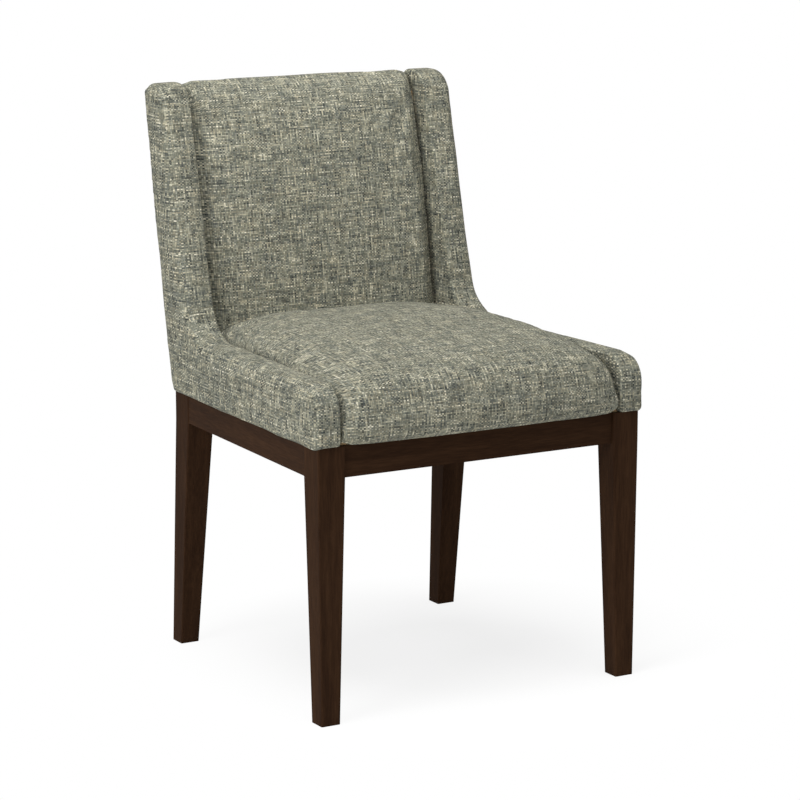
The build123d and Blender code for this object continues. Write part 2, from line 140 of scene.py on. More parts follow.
def swell(obj, held, cap):
    start = pointsOf(obj)
    group = obj.vertex_groups.new(name="held")
    group.add([int(i) for i in np.flatnonzero(held)], 1.0, "REPLACE")
    step = obj.modifiers.new("cloth", "CLOTH")
    settings = step.settings
    settings.quality = cloth["quality"]
    settings.use_pressure = True
    settings.uniform_pressure_force = cloth["pressure"]
    settings.tension_stiffness = cloth["tension"]
    settings.compression_stiffness = cloth["tension"]
    settings.shear_stiffness = cloth["shear"]
    settings.bending_stiffness = cloth["bend"]
    settings.vertex_group_mass = "held"
    settings.effector_weights.gravity = 0
    for number in range(1, cloth["frames"] + 1):
        scene.frame_set(number)
    applyModifiers(obj)
    scene.frame_set(1)
    obj.vertex_groups.clear()
    travel = pointsOf(obj) - start
    length = np.linalg.norm(travel, axis=1, keepdims=True)
    travel = travel * cap * np.tanh(length / cap) / np.maximum(length, tiny)
    setPoints(obj, start)
    layer = obj.data.attributes.new("travel", "FLOAT_VECTOR", "POINT")
    layer.data.foreach_set("vector", travel.astype(np.float32).ravel())
    furthest = round(1000 * float(length.max()), 1)
    print("swelled", obj.name, "by up to", furthest, "mm, capped at", 1000 * cap)


def addTravel(obj):  # the swelling goes on once the surface is fine and true
    layer = obj.data.attributes.get("travel")
    if layer is None:
        return
    flat = np.zeros(len(obj.data.vertices) * 3, np.float32)
    layer.data.foreach_get("vector", flat)
    setPoints(obj, pointsOf(obj) + flat.reshape(-1, 3))
    obj.data.attributes.remove(obj.data.attributes["travel"])


def ripple(obj, height, size, seed):  # slight unevenness of hand-pulled fabric
    points = pointsOf(obj)
    shift = seed * Vector(surface["seedShift"])
    lift = [noise.noise(Vector(p) / size + shift) for p in points]
    setPoints(obj, points + normalsOf(obj) * height * np.array(lift)[:, None])


def crease(obj, path, depth, width):  # a shallow fold pulled into the fabric along a path
    points = pointsOf(obj)
    gap = np.full(len(points), 1.0)
    for start, end in zip(path, path[1:]):
        start = np.array(start)
        way = np.array(end) - start
        share = np.clip((points - start) @ way / (way @ way), 0, 1)
        gap = np.minimum(gap, np.linalg.norm(points - start - share[:, None] * way, axis=1))
    valley = np.exp(-((gap / width) ** 2))
    ridge = np.exp(-((gap / width - surface["foldReach"]) ** 2))
    fold = surface["foldRise"] * ridge - valley
    setPoints(obj, points + normalsOf(obj) * (depth * fold)[:, None])


def cornersOf(obj):  # the point and the face of every face corner
    point = np.zeros(len(obj.data.loops), np.int32)
    obj.data.loops.foreach_get("vertex_index", point)
    size = np.zeros(len(obj.data.polygons), np.int32)
    obj.data.polygons.foreach_get("loop_total", size)
    return point, np.repeat(np.arange(len(size)), size)


def faceNormals(obj):
    flat = np.zeros(len(obj.data.polygons) * 3, np.float32)
    obj.data.polygons.foreach_get("normal", flat)
    return flat.reshape(-1, 3)


# where each face corner lies on the cut fabric, in metres, and the piece's tone, painted light that
# lightens or darkens the whole piece's weave
def setWeave(obj, u, v, seed, tone):
    data = np.stack([u, v, np.full(len(u), seed)], 1).astype(np.float32)
    layer = obj.data.attributes.new("weave", "FLOAT_VECTOR", "CORNER")
    layer.data.foreach_set("vector", data.ravel())
    layer = obj.data.attributes.new("tone", "FLOAT", "CORNER")
    layer.data.foreach_set("value", np.full(len(u), tone, np.float32))


# node helpers
def addNode(tree, kind, values=None, **settings):
    made = tree.nodes.new(kind)
    for name, value in settings.items():
        setattr(made, name, value)
    for name, value in (values or {}).items():
        if isinstance(value, bpy.types.NodeSocket):
            tree.links.new(value, made.inputs[name])
        else:
            made.inputs[name].default_value = value
    return made


def calc(tree, operation, first, second=0.0, third=0.0):
    made = addNode(tree, "ShaderNodeMath", {0: first, 1: second, 2: third}, operation=operation)
    return made.outputs[0]


def vectorCalc(tree, operation, first, others):
    return addNode(tree, "ShaderNodeVectorMath", {0: first, **others}, operation=operation).outputs[0]


def noiseAt(tree, place, scale, detail):
    return addNode(tree, "ShaderNodeTexNoise", {"Vector": place, "Scale": scale, "Detail": detail})


def addBump(tree, shader, height, distance, strength):
    values = {"Height": height, "Distance": distance, "Strength": strength}
    tree.links.new(addNode(tree, "ShaderNodeBump", values).outputs[0], shader.inputs["Normal"])


def mixColour(tree, factor, first, second, blend="MIX"):
    made = addNode(tree, "ShaderNodeMix", data_type="RGBA", blend_type=blend)
    for place, value in ((0, factor), (6, first), (7, second)):  # the node's sockets for colours
        if isinstance(value, bpy.types.NodeSocket):
            tree.links.new(value, made.inputs[place])
        else:
            made.inputs[place].default_value = value
    return made.outputs[2]


def linear(red, green, blue):  # screen colour 0 to 255 as the shader wants it
    parts = [c / 255 for c in (red, green, blue)]
    return tuple(c / 12.92 if c < 0.04045 else ((c + 0.055) / 1.055) ** 2.4 for c in parts) + (1.0,)


def ramp(tree, factor, stops):
    made = addNode(tree, "ShaderNodeValToRGB", {0: factor})
    bar = made.color_ramp
    while len(bar.elements) < len(stops):
        bar.elements.new(0.5)
    for element, (place, colour) in zip(bar.elements, stops):
        element.position = place
        element.color = linear(*colour)
    return made.outputs[0]


def newMaterial(name):
    made = bpy.data.materials.new(name)
    made.use_nodes = True
    tree = made.node_tree
    return made, tree, tree.nodes["Principled BSDF"]


# tweed: a plain weave of slubby yarns, each crossing a dot with its own tone, with painted shade in the
# gaps between the yarns and a painted highlight on their crowns
tweed = {
    "warpPitch": 0.0027,
    "weftPitch": 0.0023,
    "drift": 0.075,
    "streak": 1.95,
    "dot": 0.34,
    "slub": 0.10,
    "slubSize": 0.012,
    "heatherSize": 0.010,
    "heather": 0.12,
    # gap: level of the painted shade between the yarns
    "gap": 0.52,
    "bump": 0.0007,
    "bumpStrength": 0.6,
    "tint": 0.35,
    "tintDrift": 0.08,
    # ridge: level of the painted highlight on the yarn crowns
    "ridge": 1.08,
    "pieceStep": 100.0,
    "yarnStep": 7.31,
    "tintStep": 5.17,
    "warpOffset": 11.0,
    "weftOffset": 53.0,
    "tintOffset": 7,
    "fineDetail": 1.0,
    "streakDetail": 2.0,
    "streakRough": 0.6,
    "rough": 0.95,
    "gloss": 0.08,
    "sheen": 0.02,
    "sheenRough": 0.5,
    "warp": (
        (0.05, (62, 66, 67)),
        (0.34, (105, 108, 102)),
        (0.59, (141, 142, 129)),
        (0.84, (185, 182, 163)),
        (1.0, (220, 215, 196)),
    ),
    "weft": (
        (0.05, (72, 75, 73)),
        (0.32, (116, 117, 107)),
        (0.57, (154, 153, 137)),
        (0.82, (197, 193, 173)),
        (1.0, (232, 227, 208)),
    ),
    "hues": ((0.36, (112, 124, 138)), (0.50, (144, 147, 132)), (0.64, (184, 164, 128))),
}


def tweedMaterial():
    made, tree, shader = newMaterial("grey_green_tweed")
    place = addNode(tree, "ShaderNodeAttribute", attribute_name="weave").outputs["Vector"]
    slub = noiseAt(tree, place, 1 / tweed["slubSize"], tweed["fineDetail"])
    wander = vectorCalc(tree, "SUBTRACT", slub.outputs["Color"], {1: (0.5, 0.5, 0.5)})
    wander = vectorCalc(tree, "SCALE", wander, {"Scale": 2 * tweed["slub"]})
    count = (1 / tweed["warpPitch"], 1 / tweed["weftPitch"], tweed["pieceStep"])
    yarns = vectorCalc(tree, "MULTIPLY", place, {1: count})
    yarns = vectorCalc(tree, "ADD", yarns, {1: wander})
    apart = addNode(tree, "ShaderNodeSeparateXYZ", {0: yarns})
    across, along, piece = apart.outputs
    warpNumber = calc(tree, "FLOOR", across)
    weftNumber = calc(tree, "FLOOR", along)
    crossing = addNode(tree, "ShaderNodeCombineXYZ", {0: warpNumber, 1: weftNumber})
    dot = addNode(tree, "ShaderNodeTexWhiteNoise", {"Vector": crossing.outputs[0]}, noise_dimensions="2D")
    dotBase = 0.5 - tweed["dot"] / 2 - tweed["streak"] / 2
    dotTone = calc(tree, "MULTIPLY_ADD", dot.outputs["Value"], tweed["dot"], dotBase)

    def alongYarn(number, distance, step, drift, offset):
        yarn = calc(tree, "MULTIPLY", number, step)
        far = calc(tree, "MULTIPLY", distance, drift)
        pieceValue = calc(tree, "ADD", piece, offset)
        return addNode(tree, "ShaderNodeCombineXYZ", {0: yarn, 1: far, 2: pieceValue}).outputs[0]

    def yarnColour(number, distance, stops, offset):
        spot = alongYarn(number, distance, tweed["yarnStep"], tweed["drift"], offset)
        streak = noiseAt(tree, spot, 1.0, tweed["streakDetail"])
        streak.inputs["Roughness"].default_value = tweed["streakRough"]
        tone = calc(tree, "MULTIPLY_ADD", streak.outputs["Fac"], tweed["streak"], dotTone)
        tintOffset = offset + tweed["tintOffset"]
        spot = alongYarn(number, distance, tweed["tintStep"], tweed["tintDrift"], tintOffset)
        hue = noiseAt(tree, spot, 1.0, tweed["fineDetail"])
        dye = ramp(tree, hue.outputs["Fac"], tweed["hues"])
        return mixColour(tree, tweed["tint"], ramp(tree, tone, stops), dye, "SOFT_LIGHT")

    warpColour = yarnColour(warpNumber, along, tweed["warp"], tweed["warpOffset"])
    weftColour = yarnColour(weftNumber, across, tweed["weft"], tweed["weftOffset"])

    def roundYarn(distance, number):  # height across one yarn
        middle = calc(tree, "SUBTRACT", calc(tree, "SUBTRACT", distance, number), 0.5)
        return calc(tree, "COSINE", calc(tree, "MULTIPLY", middle, pi))

    def lift(distance, number, start):  # a yarn goes over one and under one
        turn = calc(tree, "ADD", calc(tree, "ADD", distance, number), start)
        wave = calc(tree, "SINE", calc(tree, "MULTIPLY", turn, pi))
        return calc(tree, "MULTIPLY_ADD", wave, 0.5, 0.5)

    warpHeight = calc(tree, "MULTIPLY", roundYarn(across, warpNumber), lift(along, warpNumber, 0.0))
    weftHeight = calc(tree, "MULTIPLY", roundYarn(along, weftNumber), lift(across, weftNumber, 1.0))
    warpOnTop = calc(tree, "GREATER_THAN", warpHeight, weftHeight)
    height = calc(tree, "MAXIMUM", warpHeight, weftHeight)
    colour = mixColour(tree, warpOnTop, weftColour, warpColour)
    # painted shade and highlight: the colour is darkened where the yarns dip into their gaps and
    # lightened on their crowns
    shade = calc(tree, "MULTIPLY_ADD", height, tweed["ridge"] - tweed["gap"], tweed["gap"])
    heather = noiseAt(tree, place, 1 / tweed["heatherSize"], tweed["fineDetail"]).outputs["Fac"]
    heatherLevel = calc(tree, "MULTIPLY_ADD", heather, 2 * tweed["heather"], 1 - tweed["heather"])
    # painted light: the piece's tone scales its whole weave, the inside back painted lighter than the
    # wings and seat that shade it
    pieceValue = addNode(tree, "ShaderNodeAttribute", attribute_name="tone").outputs["Fac"]
    level = calc(tree, "MULTIPLY", calc(tree, "MULTIPLY", shade, heatherLevel), pieceValue)
    grey = addNode(tree, "ShaderNodeCombineXYZ", {0: level, 1: level, 2: level})
    colour = mixColour(tree, 1.0, colour, grey.outputs[0], "MULTIPLY")
    tree.links.new(colour, shader.inputs["Base Color"])
    addBump(tree, shader, height, tweed["bump"], tweed["bumpStrength"])
    shader.inputs["Roughness"].default_value = tweed["rough"]
    shader.inputs["Specular IOR Level"].default_value = tweed["gloss"]
    shader.inputs["Sheen Weight"].default_value = tweed["sheen"]
    shader.inputs["Sheen Roughness"].default_value = tweed["sheenRough"]
    return made


# walnut stain over straight grain
walnut = {
    "dark": (40, 26, 17),
    "middle": (48, 32, 21),
    "light": (57, 39, 26),
    "grainSize": 0.016,
    "poreSize": 0.0016,
    "stretch": 14.0,
    "roughness": (0.42, 0.56),
    "bump": 0.00010,
    "gloss": 0.01,
}


# how figure and pores share the tone of any wood, and where its three stains fall
woodGrain = {
    "figure": 0.55,
    "pores": 0.45,
    "stops": (0.36, 0.50, 0.66),
    "figureDetail": 4.0,
    "figureWarp": 0.6,
    "poreDetail": 2.0,
    "bumpStrength": 0.6,
}


def woodMaterial(name, grain, finish):
    made, tree, shader = newMaterial(name)
    place = addNode(tree, "ShaderNodeTexCoord").outputs["Object"]
    stretch = [1 / finish["stretch"] if axis == grain else 1.0 for axis in "xyz"]
    stretched = vectorCalc(tree, "MULTIPLY", place, {1: stretch})
    grown = noiseAt(tree, stretched, 1 / finish["grainSize"], woodGrain["figureDetail"])
    grown.inputs["Distortion"].default_value = woodGrain["figureWarp"]
    figure = grown.outputs["Fac"]
    pores = noiseAt(tree, stretched, 1 / finish["poreSize"], woodGrain["poreDetail"]).outputs["Fac"]
    tone = calc(tree, "MULTIPLY", figure, woodGrain["figure"])
    tone = calc(tree, "MULTIPLY_ADD", pores, woodGrain["pores"], tone)
    stops = zip(woodGrain["stops"], (finish["dark"], finish["middle"], finish["light"]))
    tree.links.new(ramp(tree, tone, tuple(stops)), shader.inputs["Base Color"])
    low, high = finish["roughness"]
    rough = calc(tree, "MULTIPLY_ADD", figure, high - low, low)
    tree.links.new(rough, shader.inputs["Roughness"])
    addBump(tree, shader, pores, finish["bump"], woodGrain["bumpStrength"])
    shader.inputs["Specular IOR Level"].default_value = finish["gloss"]
    return made


# pale frame timber inside the chair and under it
poplar = {
    "dark": (170, 138, 98),
    "middle": (198, 168, 126),
    "light": (216, 190, 150),
    "grainSize": 0.012,
    "poreSize": 0.0012,
    "stretch": 18.0,
    "roughness": (0.55, 0.75),
    "bump": 0.0002,
    "gloss": 0.2,
}

# flecked finishes: dark and pale tone, fleck size, roughness, bump and metal
finishes = {
    "screw_steel": ((120, 118, 112), (176, 174, 168), 0.0012, 0.35, 0.00005, 1.0),
    "jute_webbing": ((120, 92, 58), (186, 154, 108), 0.0016, 0.9, 0.0006, 0.0),
    "seat_foam": ((208, 196, 150), (232, 222, 184), 0.0018, 0.95, 0.0008, 0.0),
    "black_cambric": ((16, 16, 17), (34, 34, 36), 0.0009, 0.95, 0.0002, 0.0),
    "hard_board": ((112, 84, 58), (146, 114, 80), 0.0025, 0.8, 0.0002, 0.0),
}
flecks = {"darkAt": 0.38, "paleAt": 0.62, "detail": 3.0, "bumpStrength": 0.6}


def fleckedMaterial(name):
    dark, pale, size, rough, bump, metal = finishes[name]
    made, tree, shader = newMaterial(name)
    place = addNode(tree, "ShaderNodeTexCoord").outputs["Object"]
    fleck = noiseAt(tree, place, 1 / size, flecks["detail"]).outputs["Fac"]
    stops = ((flecks["darkAt"], dark), (flecks["paleAt"], pale))
    tree.links.new(ramp(tree, fleck, stops), shader.inputs["Base Color"])
    addBump(tree, shader, fleck, bump, flecks["bumpStrength"])
    shader.inputs["Roughness"].default_value = rough
    shader.inputs["Metallic"].default_value = metal
    return made


tweedCloth = tweedMaterial()
walnutUpright = woodMaterial("walnut_upright", "z", walnut)
walnutAcross = woodMaterial("walnut_across", "x", walnut)
walnutAlong = woodMaterial("walnut_along", "y", walnut)
poplarAcross = woodMaterial("poplar_across", "x", poplar)
poplarUpright = woodMaterial("poplar_upright", "z", poplar)
poplarAlong = woodMaterial("poplar_along", "y", poplar)
flecked = {name: fleckedMaterial(name) for name in finishes}
print("finishes ready")

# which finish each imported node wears
dressing = (
    (walnutUpright, ("front_left_leg", "front_right_leg", "rear_left_leg", "rear_right_leg")),
    (walnutAcross, ("front_apron", "rear_apron")),
    (walnutAlong, ("left_apron", "right_apron")),
    (poplarUpright, ("left_back_post", "right_back_post", "left_wing_panel", "right_wing_panel")),
    (poplarAcross, ("seat_front_rail", "seat_rear_rail", "back_top_rail", "back_lower_rail")),
    (poplarAcross, ("apron_dowels", "seat_frame_dowels")),
    (poplarAcross, ("front_left_corner_block", "front_right_corner_block")),
    (poplarAcross, ("rear_left_corner_block", "rear_right_corner_block")),
    (poplarAlong, ("seat_left_rail", "seat_right_rail")),
    (flecked["screw_steel"], ("corner_block_screws", "seat_mounting_screws", "post_screws")),
    (flecked["screw_steel"], ("back_frame_screws", "wing_panel_screws")),
    (flecked["jute_webbing"], ("seat_webbing_lengthwise", "seat_webbing_crosswise", "back_webbing")),
    (flecked["seat_foam"], ("seat_foam", "back_foam", "left_wing_padding", "right_wing_padding")),
    (flecked["black_cambric"], ("dust_cover",)),
    (flecked["hard_board"], ("outside_back_board",)),
    (tweedCloth, ("left_wing_cover", "right_wing_cover", "seat_cover")),
    (tweedCloth, ("inside_back_cover", "outside_back_cover")),
)
for finish, names in dressing:
    for name in names:
        data = nodes[name].data
        data.materials.clear()
        data.materials.append(finish)
print("nodes dressed")


# wings: seen from the side an L with rounded corners, fabric pulled over all its edges
wingLow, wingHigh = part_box("right_wing_cover")
wing = {
    "front": wingLow.y + 0.006,  # the soft nose stays a little behind the solid cover's front
    "bottom": wingLow.z,
    "top": wingHigh.z - 0.001,  # room for the swelling and the ripple
    "armTop": 0.485,
    "rearFoot": 0.2185,
    "rearLean": tan(radians(10.2)),
    "depthArm": 0.090,
    "depthTop": 0.062,
    "noseRadius": 0.043,
    "sweepRadius": 0.070,
    "topRadius": 0.040,
    "rearRadius": 0.014,
    "outerFront": wingHigh.x - 0.001,  # the same at the outer side
    "outerTaper": 0.0381,
    "innerFront": 0.233,
    "innerTaper": 0.0588,
    "outerEdge": 0.020,
    "outerNoseEdge": 0.009,
    "outerTopEdge": 0.012,
    "outerCrownEdge": 0.0135,
    "outerRearEdge": 0.003,
    "innerEdge": 0.0035,
    "innerTopEdge": 0.006,
    "lowerEdge": 0.004,
    "lowerNoseEdge": 0.006,
    "hang": 0.0038,
    "frontHang": -0.0003,
    "below": 0.080,
    "wrapFrom": 0.75,
    "sideThread": 0.64,
    # tone: painted light level of the wings' weave, darker than the inside back's
    "tone": 0.93,
    # spans: where a change of shape starts and where it is complete
    "upperSpan": (0.60, 0.80),
    "rearSpan": (-0.2, 0.4),
    "crownSpan": (0.1, 0.7),
    "noseSpan": (0.05, 0.6),
    "noseDrop": (-0.52, -0.47),
    "hemStart": (0.002, 0.016),
    "hemSpan": (-0.016, -0.004),
    "rearHemSpan": (0.5, 0.9),
    "leftFolds": (
        (
            (-0.2307, 0.1477, 0.5159),
            (-0.2209, 0.1459, 0.5135),
            (-0.2152, 0.1428, 0.5095),
            (-0.2105, 0.1407, 0.5068),
        ),
        ((-0.2332, 0.1448, 0.5118), (-0.2304, 0.1423, 0.5090), (-0.2267, 0.1390, 0.5054)),
    ),
    "rightFolds": (
        ((0.2085, 0.1421, 0.5058), (0.2195, 0.1441, 0.5106)),
        ((0.2103, 0.1387, 0.5041), (0.2224, 0.1407, 0.5067)),
    ),
    "foldDepth": 0.0011,
    "foldWidth": 0.0030,
    "outlineStep": 0.003,
    "voxel": 0.0045,
    "roughSettle": 3,
    "roughRelax": 3,
    "trueSettle": 2,
    "fineSettle": 4,
    "fineRelax": 2,
    "cap": 0.0025,
    "heldFoot": 0.010,
    "heldInside": 0.003,
    "heldRear": 0.3,
    "heldRim": -0.008,
    "ripple": 0.0006,
    "rightRippleSize": 0.06,
    "leftRippleSize": 0.05,
    "rightSeed": 1,
    "leftSeed": 2,
}


def roundedOutline(corners, step):  # an arc is laid in at each corner, given as place and radius
    points = []
    for index, (place, radius) in enumerate(corners):
        here = np.array(place, float)
        before = np.array(corners[index - 1][0], float) - here
        after = np.array(corners[(index + 1) % len(corners)][0], float) - here
        before /= np.linalg.norm(before)
        after /= np.linalg.norm(after)
        if radius == 0:
            points.append(here)
            continue
        half = np.arccos(np.clip(before @ after, -1, 1)) / 2
        middle = before + after
        centre = here + middle / np.linalg.norm(middle) * radius / sin(half)
        start = here + before * radius / tan(half) - centre
        end = here + after * radius / tan(half) - centre
        turn = np.arctan2(start[0] * end[1] - start[1] * end[0], start @ end)
        count = max(surface["leastArcPoints"], int(abs(turn) * radius / step))
        for angle in turn * np.linspace(0, 1, count):
            ahead = start[0] * cos(angle) - start[1] * sin(angle)
            aside = start[0] * sin(angle) + start[1] * cos(angle)
            points.append(centre + np.array([ahead, aside]))
    return np.array(points)


def wingRear(z):
    return wing["rearFoot"] + wing["rearLean"] * (z - wing["bottom"])


def wingFront(z):
    narrowing = (wing["depthArm"] - wing["depthTop"]) / (wing["top"] - wing["armTop"])
    return wingRear(z) - wing["depthArm"] + narrowing * (z - wing["armTop"])


wingFoot = wing["bottom"] - wing["below"]  # the outline runs on below the wing, which is cut off level
wingOutline = roundedOutline(
    (
        ((wing["front"], wingFoot), 0),
        ((wingRear(wingFoot), wingFoot), 0),
        ((wingRear(wing["top"]), wing["top"]), wing["rearRadius"]),
        ((wingFront(wing["top"]), wing["top"]), wing["topRadius"]),
        ((wingFront(wing["armTop"]), wing["armTop"]), wing["sweepRadius"]),
        ((wing["front"], wing["armTop"]), wing["noseRadius"]),
    ),
    wing["outlineStep"],
)


def nearestOnOutline(outline, places):  # signed distance, outward normal and run along the outline
    runs = np.roll(outline, -1, 0) - outline
    lengths = np.linalg.norm(runs, axis=1)
    along = np.concatenate([[0], np.cumsum(lengths)[:-1]])
    best = np.full(len(places), np.inf)
    run = np.zeros(len(places))
    side = np.zeros((len(places), 2))
    for start, way, length, begun in zip(outline, runs, lengths, along):
        t = np.clip((places - start) @ way / length**2, 0, 1)
        off = places - start - t[:, None] * way
        far = np.linalg.norm(off, axis=1)
        closer = far < best - tiny
        best[closer] = far[closer]
        run[closer] = begun + t[closer] * length
        side[closer] = np.array([way[1], -way[0]]) / length
    inside = np.zeros(len(places), bool)
    for start, way in zip(outline, runs):
        crosses = (start[1] > places[:, 1]) != (start[1] + way[1] > places[:, 1])
        safe = way[1] if abs(way[1]) > tiny else tiny
        reach = start[0] + way[0] * (places[:, 1] - start[1]) / safe
        inside ^= crosses & (places[:, 0] < reach)
    return np.where(inside, -best, best), side, run


def wingOuter(y):
    return wing["outerFront"] - wing["outerTaper"] * (y - wing["front"])


def wingInner(y):
    return wing["innerFront"] - wing["innerTaper"] * (y - wing["front"])


def roundedMeet(first, second, radius):  # two faces that meet in a round edge
    one = first + radius
    two = second + radius
    beyond = np.hypot(np.maximum(one, 0), np.maximum(two, 0))
    return np.minimum(np.maximum(one, two), 0) + beyond - radius


def wingField(points):  # negative inside the wing, positive outside it
    x, y, z = points.T
    edge, side, _ = nearestOnOutline(wingOutline, points[:, 1:])
    upper = smoothStep(z, *wing["upperSpan"])
    rearward = smoothStep(side[:, 0], *wing["rearSpan"])
    crown = smoothStep(side[:, 1], *wing["crownSpan"]) * upper
    nose = smoothStep(-side[:, 0], *wing["noseSpan"]) * smoothStep(-z, *wing["noseDrop"])
    outerRound = wing["outerEdge"] + (wing["outerTopEdge"] - wing["outerEdge"]) * upper
    outerRound = outerRound + (wing["outerNoseEdge"] - outerRound) * nose
    outerRound = outerRound + (wing["outerRearEdge"] - outerRound) * rearward
    outerRound = outerRound + (wing["outerCrownEdge"] - outerRound) * crown
    innerRound = wing["innerEdge"] + (wing["innerTopEdge"] - wing["innerEdge"]) * crown
    outer = roundedMeet(edge, x - wingOuter(y), outerRound)
    inner = roundedMeet(edge, wingInner(y) - x, innerRound)
    behind = smoothStep(y - wing["front"], *wing["hemStart"])
    sideHem = smoothStep(x - wingOuter(y), *wing["hemSpan"])
    rearHem = smoothStep(side[:, 0], *wing["rearHemSpan"]) * smoothStep(edge, *wing["hemSpan"])
    hem = (wing["hang"] - wing["frontHang"]) * behind * np.maximum(sideHem, rearHem)
    foot = wing["bottom"] - wing["frontHang"] - hem - z
    lowerRound = wing["lowerNoseEdge"] + (wing["lowerEdge"] - wing["lowerNoseEdge"]) * behind
    return roundedMeet(np.maximum(outer, inner), foot, lowerRound)


def settle(obj, field, rounds):  # bring each point onto the field's zero surface
    points = pointsOf(obj)
    nudges = surface["nudge"] * np.eye(3)
    for _ in range(rounds):
        value = field(points)
        slope = np.stack([field(points + nudge) - value for nudge in nudges], 1) / surface["nudge"]
        size = np.maximum((slope**2).sum(1, keepdims=True), surface["leastSlope"])
        points = points - slope * value[:, None] / size
    setPoints(obj, points)


def makeWing():
    shape = bmesh.new()
    rings = []
    for across in (wingInner, wingOuter):
        rings.append([shape.verts.new((across(y), y, max(z, wing["bottom"]))) for y, z in wingOutline])
    shape.faces.new(rings[0])
    shape.faces.new(list(reversed(rings[1])))
    count = len(wingOutline)
    for index in range(count):
        after = (index + 1) % count
        shape.faces.new((rings[0][after], rings[0][index], rings[1][index], rings[1][after]))
    bmesh.ops.recalc_face_normals(shape, faces=shape.faces)
    mesh = bpy.data.meshes.new("right_wing")
    shape.to_mesh(mesh)
    shape.free()
    obj = newPiece("right_wing", mesh)
    remesh(obj, wing["voxel"])
    settle(obj, wingField, wing["roughSettle"])
    relax(obj, wing["roughRelax"])
    settle(obj, wingField, wing["trueSettle"])
    return obj


def weaveWing(obj, seed):  # flat on the sides, a strip along the edge
    points = pointsOf(obj)
    _, _, run = nearestOnOutline(wingOutline, points[:, 1:])
    point, face = cornersOf(obj)
    flat = np.abs(faceNormals(obj)[face, 0]) > wing["wrapFrom"]
    u = np.where(flat, points[point, 1] * wing["sideThread"], points[point, 0])
    v = np.where(flat, points[point, 2], run[point])
    setWeave(obj, u, v, seed, wing["tone"])


rightWing = makeWing()
wingPoints = pointsOf(rightWing)
wingEdge, wingSide, _ = nearestOnOutline(wingOutline, wingPoints[:, 1:])
wingHeld = wingPoints[:, 2] < wing["bottom"] + wing["heldFoot"]
wingHeld |= wingPoints[:, 0] < wingInner(wingPoints[:, 1]) + wing["heldInside"]
wingHeld |= (wingSide[:, 0] > wing["heldRear"]) & (wingEdge > wing["heldRim"])
swell(rightWing, wingHeld, wing["cap"])
refine(rightWing)
settle(rightWing, wingField, wing["fineSettle"])
relax(rightWing, wing["fineRelax"])
addTravel(rightWing)
ripple(rightWing, wing["ripple"], wing["rightRippleSize"], wing["rightSeed"])
leftWing = newPiece("left_wing", rightWing.data.copy())
setPoints(leftWing, pointsOf(leftWing) * np.array([-1.0, 1.0, 1.0]))
leftWing.data.flip_normals()
ripple(leftWing, wing["ripple"], wing["leftRippleSize"], wing["leftSeed"])
for path in wing["leftFolds"]:
    crease(leftWing, path, wing["foldDepth"], wing["foldWidth"])
for path in wing["rightFolds"]:
    crease(rightWing, path, wing["foldDepth"], wing["foldWidth"])
for obj, side, seed in ((rightWing, "right", wing["rightSeed"]), (leftWing, "left", wing["leftSeed"])):
    weaveWing(obj, seed)
    obj.data.materials.clear()
    obj.data.materials.append(tweedCloth)
    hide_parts(side + "_wing_cover", side + "_wing_padding")
    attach(obj, "root")
print("wings made")

# seat: crowned pad with a waterfall front, tight between the arms
seat = {
    "voxel": 0.0052,
    "cap": 0.003,
    "relax": 3,
    "lift": 0.0028,
    "sideLift": -0.0006,
    "rollWidth": 0.028,
    "rollRounds": 26,
    "rollFoot": 0.425,
    "sink": 0.005,
    "sinkWidth": 0.024,
    "sinkWays": (0.0, 0.0, 1.0),
    "heldFoot": 0.004,
    "heldBelow": 0.430,
    "heldBehind": -0.25,
    "centreY": -0.02,
    "centreZ": 0.40,
    "middleBand": 0.006,
    # tone: painted light level of the seat's weave, darker than the inside back's
    "tone": 0.93,
    "ripple": 0.0008,
    "rippleSize": 0.07,
    "seed": 3,
}


def padFrom(node, name, size):  # a pad starts as an even mesh over its foam
    mesh = nodes[node].data.copy()
    obj = newPiece(name, mesh)
    remesh(obj, size)
    return obj


def rollEnds(obj, width, rounds, foot):  # rounds over the ends that go down beside the wings
    points = pointsOf(obj)
    inward = wingInner(points[:, 1]) - np.abs(points[:, 0])
    relax(obj, rounds, (inward > width) | (points[:, 2] < foot))


def bringOut(obj, lift, sideLift):  # out to the cover, less at the sides that meet the wings
    normals = normalsOf(obj)
    sideways = normals[:, :1] ** 2
    under = smoothStep(-normals[:, 2:], *surface["underSpan"])
    setPoints(obj, pointsOf(obj) + normals * (lift + (sideLift - lift) * sideways) * (1 - under))


def sinkEnds(obj, depth, width, ways):  # the pad dips towards the wings, which stand proud of it
    points = pointsOf(obj)
    inward = wingInner(points[:, 1]) - np.abs(points[:, 0])
    sink = depth * (1 - smoothStep(inward, 0.0, width))
    setPoints(obj, points - normalsOf(obj) * np.array(ways) * sink[:, None])


def weaveSeat(obj, seed):  # measured along the middle, from the rear over the crown to the front
    points = pointsOf(obj)
    y = points[:, 1] - seat["centreY"]
    z = points[:, 2] - seat["centreZ"]
    angle = np.arctan2(z, y)
    reach = np.hypot(y, z)
    normals = normalsOf(obj)
    facing = normals[:, 1] * y + normals[:, 2] * z > 0
    middle = (np.abs(points[:, 0]) < seat["middleBand"]) & (angle > 0) & facing
    order = np.argsort(angle[middle])
    rim = angle[middle][order]
    far = reach[middle][order]
    ring = np.stack([far * np.cos(rim), far * np.sin(rim)], 1)
    run = np.concatenate([[0], np.cumsum(np.linalg.norm(np.diff(ring, axis=0), axis=1))])
    v = np.interp(angle, rim, run)
    point, face = cornersOf(obj)
    steep = np.abs(faceNormals(obj)[face, 0]) > wing["wrapFrom"]
    u = np.where(steep, reach[point], points[point, 0])
    setWeave(obj, u, -v[point], seed, seat["tone"])


